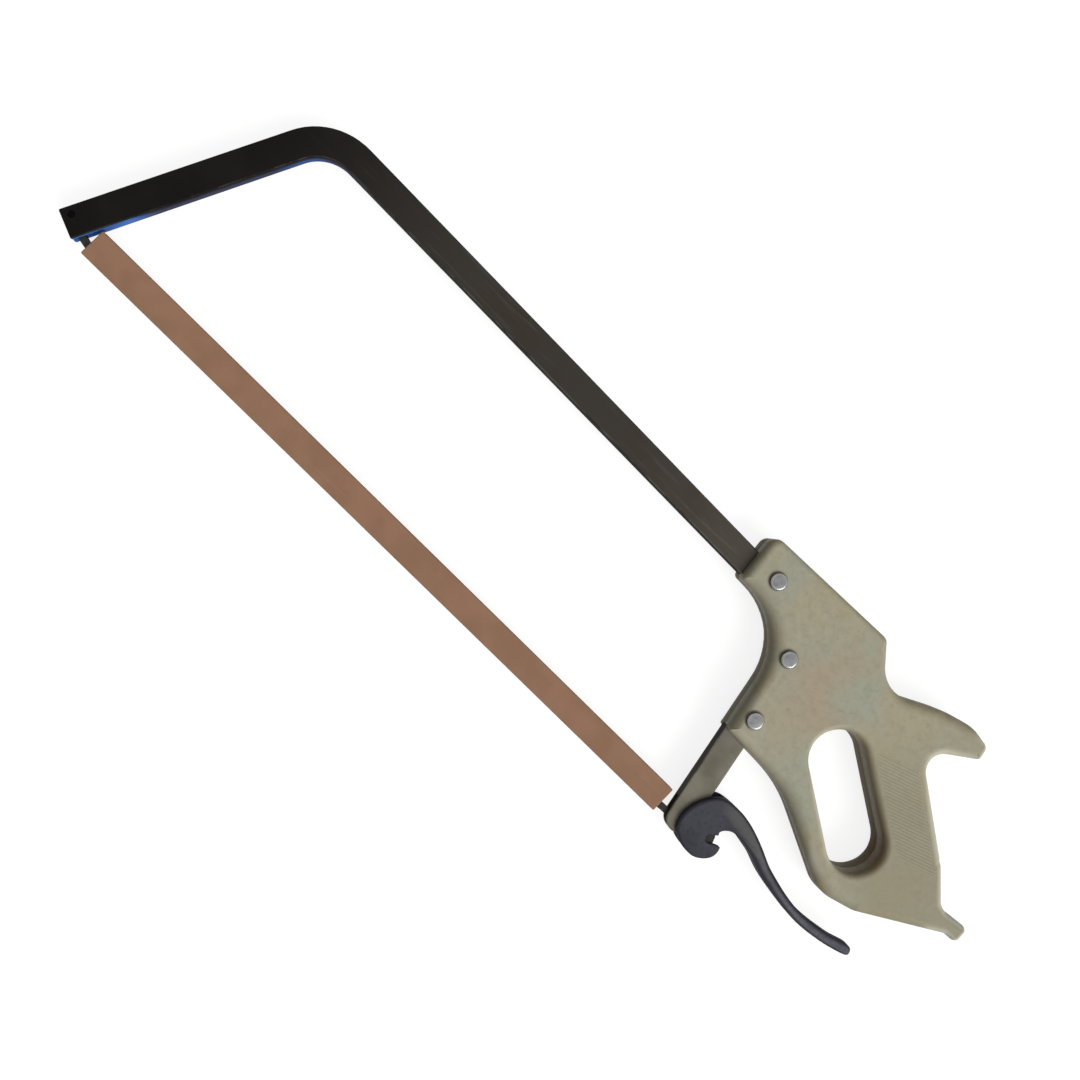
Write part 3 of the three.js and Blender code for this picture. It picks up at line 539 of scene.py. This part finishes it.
# Paler rounded edges on the grip's back and the hand hole's far side: partly wear, partly painted highlight
# where they face the light.
lit_worn_edge = between(over_grip, 0.012, 0.02) * between(down_grip, -0.012, 0.0)
far_edge = between(over_grip, -0.068, -0.063) * (1 - between(over_grip, -0.055, -0.045))
lit_worn_edge = lit_worn_edge + inside * far_edge
lit_worn_edge = lit_worn_edge * (1 - between(edge_turn, 0.55, 0.95))
tone = mixed(lit_worn_edge * (0.5 + 0.4 * fleck), tone, srgb(196, 192, 176))
# Darker ring round each bolt, shifted away from the light: grime, and a painted shadow cast by the head.
for centre in BOLT_PLACES.values():
    from_bolt = apart_from(in_plan, plan_place(centre + BOLT_SHADOW_SHIFT))
    tone = mixed((1 - between(from_bolt, 0.0056, 0.0076)) * 0.8, tone, srgb(78, 68, 52))
feed(tone, shader, "Base Color")
feed(0.42 + 0.2 * blotch + 0.15 * between(fleck, 0.45, 0.7), shader, "Roughness")
relief(shader, fleck * 0.08 + grain(coords, 60, 3) * 0.5, 0.45, 0.0006)


def ribbed_pad(face):
    """Ribs moulded on the grip: a sine wave along one way, carried on straight lines between the hand
    hole's side and the grip's back edge. It fades below the face round its border, and a flat underside
    closes it."""
    way = RIB_WAY[:2]
    hole_side = [from_hole(-1, 0, 1, 4), from_hole(1, 0, 1, 4.8)]
    back_side = [from_hole(-1, 30, 1, 34), from_hole(1, 9, 1, 31)]
    sides = np.array([hole_side, back_side])
    first, last = from_hole(-1, 17, 1, 4) @ way, from_hole(1, -1, 1, 4.8) @ way
    reach = np.linspace(first, last, PAD_ROWS)
    share = (reach[None] - (sides[:, :1] @ way)) / ((sides[:, 1:] - sides[:, :1]) @ way)
    inner, outer = sides[:, :1] + share[..., None] * (sides[:, 1:] - sides[:, :1])
    across = np.linspace(0, 1, PAD_COLUMNS)
    plan = inner[:, None] + across[None, :, None] * (outer - inner)[:, None]
    border = np.minimum(np.minimum(across, 1 - across)[None] * SIDE_FADE,
                        np.minimum(reach - last, first - reach)[:, None] / END_FADE)
    fade = np.clip(border, 0, 1) ** 2 * (3 - 2 * np.clip(border, 0, 1))
    wave = 0.5 + 0.5 * np.sin((reach * MM + pivot @ RIB_WAY) * 2 * np.pi / RIB_PITCH)
    top = HANDLE_HALF - PAD_SINK + fade * (PAD_RISE + RIB_HEIGHT * wave[:, None])
    loop = np.concatenate([plan, plan[:, ::-1]], 1)
    height = face * np.concatenate([top, np.full_like(top, HANDLE_HALF - PAD_FLOOR)], 1)
    places = np.dstack([loop, height]).reshape(-1, 3)
    count, turns = loop.shape[1], np.arange(loop.shape[1])
    here = (np.arange(len(reach) - 1) * count)[:, None] + turns
    there = (np.arange(len(reach) - 1) * count)[:, None] + np.roll(turns, -1)
    quads = np.stack([here, there, there + count, here + count], 2).reshape(-1, 4)[:, ::face]
    half = np.arange(len(across) - 1)
    end = np.concatenate([np.stack([half, half + 1, count - 1 - half], 1),
                          np.stack([half + 1, count - 2 - half, count - 1 - half], 1)])
    caps = np.concatenate([end[:, ::-face], (end + len(places) - count)[:, ::face]])
    return places, quads, caps, np.full(len(places), PAD_TURN), np.zeros(len(places), bool)


make_piece("handle_left_shell", [
    slab([handle_edge, hand_hole], 0, HANDLE_HALF, round_high=True, depth=EDGE_DEPTH, seam=PARTING_LINE),
    ribbed_pad(1),
], ivory, "frame", "ivory_plastic", "handle_left")
make_piece("handle_right_shell", [
    slab([handle_edge, hand_hole], -HANDLE_HALF, 0, round_low=True, depth=EDGE_DEPTH, seam=PARTING_LINE),
    ribbed_pad(-1),
], ivory, "frame", "ivory_plastic", "handle_right")


# Grip dowels: two short steel pins inside the handle that keep its halves in line, drawn rod cut to length.
# The blade is spring steel with the same grey finish, toothed along one edge and held by a pin at each end.
drawn_steel, shader, coords = finish("drawn_steel", IOR=2.4)
lay = grain(coords, 500, 3, (20.0, 1.0, 1.0))
stain = grain(coords, 40, 4)
tone = mixed(between(lay, 0.35, 0.7), srgb(98, 99, 101), srgb(124, 125, 127))
tone = mixed(between(stain, 0.52, 0.72) * 0.5, tone, srgb(88, 76, 64))
feed(tone, shader, "Base Color")
feed(1 - 0.35 * between(stain, 0.55, 0.75), shader, "Metallic")
feed(0.28 + 0.2 * lay + 0.15 * stain, shader, "Roughness")
relief(shader, lay, 0.2, 0.0001)


def dress(material, *names):
    """Gives CAD pieces that keep their own shape a finish."""
    for name in names:
        held = frame["nodes"][name].data.materials
        held.clear()
        held.append(material)


dress(drawn_steel, "grip_dowel_upper", "grip_dowel_lower", "blade")


# Saw bolts: three aluminium bolts through the handle and the bar, each drawn up in a barrel nut whose head
# matches its own. The heads are turned, with a flat top and a broad rounded rim, and scuffed by handling.
HEAD_RADIUS, RIM_WIDTH, WALL_HEIGHT, RIM_HEIGHT = 5.9, 2.0, 1.0, 1.3
SEAT, CROWN = [(5.86, 0.0), (HEAD_RADIUS, 0.05)], [(3.0, 2.35), (1.5, 2.39)]
SHANK = [(2.2, -10.5), (2.4, -10.3), (2.4, 12.95)]
BARREL = [(2.6, -10.6), (2.6, 10.6), (3.6, 10.6), (3.6, -12.95)]
RIM_FACETS, TURNED_FACETS = 9, 48


def turned_piece(profile, centre):
    """Profile of radius and height turned about an upright axis, from its lowest middle to its highest."""
    radius, height = np.array(profile, float).T
    angle = np.linspace(0, 2 * np.pi, TURNED_FACETS + 1)[:-1]
    count = len(angle)
    x = centre[0] + np.outer(radius, np.cos(angle))
    y = centre[1] + np.outer(radius, np.sin(angle))
    z = np.repeat(height[:, None], count, 1)
    places = np.stack([x, y, z], 2).reshape(-1, 3)
    places = np.vstack([places, [*centre, height[0]], [*centre, height[-1]]])
    step = np.roll(np.arange(count), -1)
    base = (np.arange(len(radius) - 1) * count)[:, None]
    here, there = base + np.arange(count), base + step
    quads = np.stack([here, there, there + count, here + count], 2).reshape(-1, 4)
    last = (len(radius) - 1) * count
    foot = np.column_stack([step, np.arange(count), np.full(count, len(places) - 2)])
    head = np.column_stack([last + np.arange(count), last + step, np.full(count, len(places) - 1)])
    share = np.concatenate([np.repeat(radius / radius.max(), count), [0, 0]])
    return places, quads, np.concatenate([foot, head]), share, np.zeros(len(places), bool)


def bolt_head(side):
    """Head from its seat on the handle's face to its crown: a short wall, a rounded rim and a flat top."""
    rim = np.linspace(0, np.pi / 2, RIM_FACETS + 1)
    radius = HEAD_RADIUS - RIM_WIDTH + RIM_WIDTH * np.cos(rim)
    height = WALL_HEIGHT + RIM_HEIGHT * np.sin(rim)
    return [(r, side * (HANDLE_HALF + h)) for r, h in [*SEAT, *zip(radius, height), *CROWN]]


aluminium, shader, coords = finish("aluminium", IOR=1.45, Specular_Tint=(0.4, 0.4, 0.4, 1))
scuff = grain(coords, 260, 4)
pale = mixed(between(scuff, 0.35, 0.7), srgb(118, 119, 119), srgb(103, 104, 108))
edge_share = stored_turn(coords)
# Paler band on the rim: partly polish, partly painted highlight.
pale = mixed(between(edge_share, 0.7, 0.86) * 0.4, pale, srgb(186, 186, 184))
# Darker at the head's foot and low wall, where it meets the handle: grime, and painted shade in that
# corner.
pale = mixed(between(edge_share, 0.994, 1.0) * 0.7, pale, srgb(60, 56, 48))
feed(pale, shader, "Base Color")
feed(0.75 - 0.3 * between(scuff, 0.55, 0.75), shader, "Metallic")
feed(0.2 + 0.16 * scuff, shader, "Roughness")
relief(shader, scuff, 0.1, 0.0001)
for name, centre in BOLT_PLACES.items():
    make_piece(f"bolt_{name}", [turned_piece(SHANK + bolt_head(1), centre)],
               aluminium, "frame", "aluminium", f"saw_bolt_{name}")
    make_piece(f"nut_{name}", [turned_piece((BARREL + bolt_head(-1))[::-1], centre)],
               aluminium, "frame", "aluminium", f"saw_nut_{name}")


# Hooks and pins: a flat forged hook pinned in the front arm's kerf, a draw link of the same stock hooked on
# the blade's rear pin, and the plain pins they turn on, all blackened steel, rubbed bright in patches.
# The end of the front hook's pin is near black.
black_steel, shader, coords = finish(
    "black_steel", IOR=1.5, Specular_Tint=(0.3, 0.3, 0.3, 1), Specular_IOR_Level=0.2)
scale = grain(coords, 160, 4)
rubbed = grain(coords, 55, 3)
tone = mixed(between(scale, 0.35, 0.7), srgb(32, 31, 31), srgb(50, 48, 46))
tone = mixed(between(rubbed, 0.55, 0.72) * 0.4, tone, srgb(84, 81, 76))
hook_pin_end = (pivot + np.array([*hook_pin, BAR_HALF]) * MM).tolist()
from_pin_end = apart_from(coords, hook_pin_end)
tone = mixed(1 - between(from_pin_end, 0.003, 0.004), tone, srgb(6, 6, 7))
feed(tone, shader, "Base Color")
feed(0.35 + 0.3 * scale, shader, "Roughness")
feed(0.6 + 0.35 * between(rubbed, 0.5, 0.7), shader, "Metallic")
relief(shader, scale, 0.35, 0.0003)
dress(black_steel, "front_hook", "front_hook_pin", "blade_pin_front", "blade_pin_rear", "lever_pivot_pin",
      "draw_link", "draw_link_pin")


# Blade guard: a slotted strip of matt brown plastic pushed over the blade from its toothed side, wide at
# both ends for the hooks. Handling has mottled it and left long faint scratches.
guard_brown, shader, coords = finish("brown_plastic", IOR=1.45, Specular_IOR_Level=0.25)
mottle = grain(coords, 45, 4)
scratch = grain(coords, 700, 3, (40.0, 1.0, 1.0))
tone = mixed(between(mottle, 0.35, 0.65), srgb(150, 114, 91), srgb(143, 108, 86))
tone = mixed(between(scratch, 0.62, 0.75) * 0.3, tone, srgb(164, 130, 106))
feed(tone, shader, "Base Color")
feed(0.66 + 0.15 * mottle, shader, "Roughness")
relief(shader, scratch * 0.4 + grain(coords, 1200, 2) * 0.4, 0.2, 0.0002)
dress(guard_brown, "blade_guard")


# Tension lever: an iron casting whose forked scroll straddles the arm's end and whose tail sweeps back
# under the hand, which has worn it. It turns on a flush pin, and its notch takes the draw link's pin.
LEVER_HALF, FORK_HALF, CAST_DEPTH = 9.3, 5.05, 1.2
FORK_REACH, WEB_START, TAIL_TIP, TIP_HALF = 27.5, 30.0, 150.8, 4.5
LINK_REACH, LINK_WAY = 18.8, np.radians(10.7)
NOTCH_RADIUS, NOTCH_WAY, NOTCH_EDGE = 3.1, np.radians(28), 0.4
CURVE_STEPS, NOTCH_FACETS, BRIDGE_FACETS, CORNER_CUTS = 8, 14, 8, 2
LINK_PIN = LINK_REACH * np.array([np.cos(LINK_WAY), np.sin(LINK_WAY)])
# Each row gives x and y round the pivot and the width of the rounded edge there, in mm.
LEVER_SKETCH = np.array([
    (-6.5, 4, 2), (-3.6, -6, 2), (2.6, -10.6, 2), (10, -12.9, 2), (19, -12.7, 2), (26, -8.3, 1.8),
    (29, -2.5, 1), (27.6, 4.4, 0.3), (20.5, 10.6, 0.4), (25, 16.2, 1), (33, 17.6, 2), (48.4, 15, 3),
    (67.5, 8.8, 3.3), (101, 3.8, 2.8), (126.5, 5.4, 2.8), (146.5, 10, 2.4), (TAIL_TIP, 13.4, 2),
    (146.5, 17.4, 2.4), (128.5, 13, 2.8), (99.8, 10.6, 2.8), (68.6, 16.8, 3.3), (50.8, 24, 3.2),
    (33.5, 29.5, 2.6), (19, 31, 2.2), (5, 28.2, 2), (-3.6, 17, 2)])


def smooth_loop(rows, steps):
    """Closed curve through every row: a cubic on each stretch whose slope at a row is half the step from
    the row before it to the row after."""
    t = np.linspace(0, 1, steps + 1)[:-1][None, :, None]
    before, here, after, beyond = [np.roll(rows, shift, 0)[:, None] for shift in (1, 0, -1, -2)]
    leave, arrive = (after - before) / 2, (beyond - here) / 2
    curve = (2 * t**3 - 3 * t**2 + 1) * here + (t**3 - 2 * t**2 + t) * leave
    curve = curve + (3 * t**2 - 2 * t**3) * after + (t**3 - t**2) * arrive
    return curve.reshape(-1, rows.shape[1])


def notched(curve):
    """Outline with the notch let in: a slot open towards one way and round about the link's pin. Every
    corner is then cut off a quarter along the runs beside it, a set number of times."""
    way = np.array([np.cos(NOTCH_WAY), np.sin(NOTCH_WAY)])
    offset = curve[:, :2] - LINK_PIN
    across = offset @ np.array([-way[1], way[0]])
    inside = (np.abs(across) < NOTCH_RADIUS) & (offset @ way > 0)
    first = np.argmax(inside)
    angle = NOTCH_WAY - np.linspace(np.pi / 2, 3 * np.pi / 2, NOTCH_FACETS + 1)
    bottom = LINK_PIN + NOTCH_RADIUS * np.stack([np.cos(angle), np.sin(angle)], 1)
    bottom = np.column_stack([bottom, np.full(len(bottom), NOTCH_EDGE)])
    outline = np.concatenate([curve[:first], bottom, curve[first:][~inside[first:]]])
    for _ in range(CORNER_CUTS):
        ahead = np.roll(outline, -1, 0)
        outline = np.stack([0.75 * outline + 0.25 * ahead, 0.25 * outline + 0.75 * ahead], 1).reshape(-1, 3)
    return outline


def cast_loop(outline):
    """Outline whose edges never close up."""
    return outline[:, :2], outline[:, 2], np.full(len(outline), UNBOUNDED), np.zeros((len(outline), 2))


def tail_taper(part):
    """Thins the casting smoothly from the fork to about half its thickness at the tail's tip."""
    places = part[0]
    share = np.clip((places[:, 0] - FORK_REACH) / (TAIL_TIP - FORK_REACH), 0, 1)
    share = share * share * (3 - 2 * share)
    places[:, 2] = places[:, 2] * (1 - share * (1 - TIP_HALF / LEVER_HALF))
    return part


lever_curve = smooth_loop(LEVER_SKETCH, CURVE_STEPS)
cheek = notched(lever_curve)
behind = np.linalg.norm(lever_curve[:, :2], axis=1) > WEB_START
tail = np.roll(lever_curve, -np.argmax(behind & ~np.roll(behind, 1)), 0)[:behind.sum()]
fork_end = np.arctan2(tail[[-1, 0], 1], tail[[-1, 0], 0])
bridge = np.linspace(*fork_end, BRIDGE_FACETS + 1)[1:-1]
bridge = FORK_REACH * np.stack([np.cos(bridge), np.sin(bridge), 0 * bridge], 1)
web = cast_loop(np.concatenate([tail, bridge]))

cast_iron, shader, coords = finish(
    "cast_iron", IOR=1.5, Specular_Tint=(0.4, 0.4, 0.4, 1), Specular_IOR_Level=0.25)
edge_turn = stored_turn(coords)
skin = grain(coords, 320, 4, rough=0.6)
patch = grain(coords, 34, 3)
past_pivot = along(coords, (1.0, 0.0, 0.0), float(pivot[0]))
worn = between(past_pivot, 0.03, 0.09)
tone = mixed(between(patch, 0.35, 0.65), srgb(50, 50, 57), srgb(58, 58, 65))
tone = mixed(between(skin, 0.5, 0.75) * 0.4, tone, srgb(42, 41, 46))
tone = mixed(worn * between(patch, 0.3, 0.6) * 0.3, tone, srgb(62, 62, 64))
# Painted highlight along the tail's upper rounded edge.
upper_way = np.array([0.15, 1.0, 0.0])
upper_side = between(along(coords, upper_way.tolist(), float(pivot @ upper_way)), 0.021, 0.0285)
ridge = between(past_pivot, 0.0, 0.025) - between(past_pivot, 0.05, 0.085)
ridge = ridge * between(edge_turn, 0.5, 0.95) * upper_side
tone = mixed(ridge * 0.55, tone, srgb(86, 86, 83))
feed(tone, shader, "Base Color")
feed(0.55 + 0.3 * worn, shader, "Metallic")
feed(0.5 + 0.2 * skin - 0.12 * worn, shader, "Roughness")
relief(shader, skin * 0.6 + grain(coords, 110, 3) * 0.8, 0.35, 0.0006)

make_piece("scroll_lever", [
    tail_taper(slab([cast_loop(cheek)], FORK_HALF, LEVER_HALF, round_high=True, depth=CAST_DEPTH)),
    tail_taper(slab([cast_loop(cheek)], -LEVER_HALF, -FORK_HALF, round_low=True, depth=CAST_DEPTH)),
    tail_taper(slab([web], -FORK_HALF - CORE_OVERLAP, FORK_HALF + CORE_OVERLAP)),
], cast_iron, "lever", "cast_iron", "tension_lever")
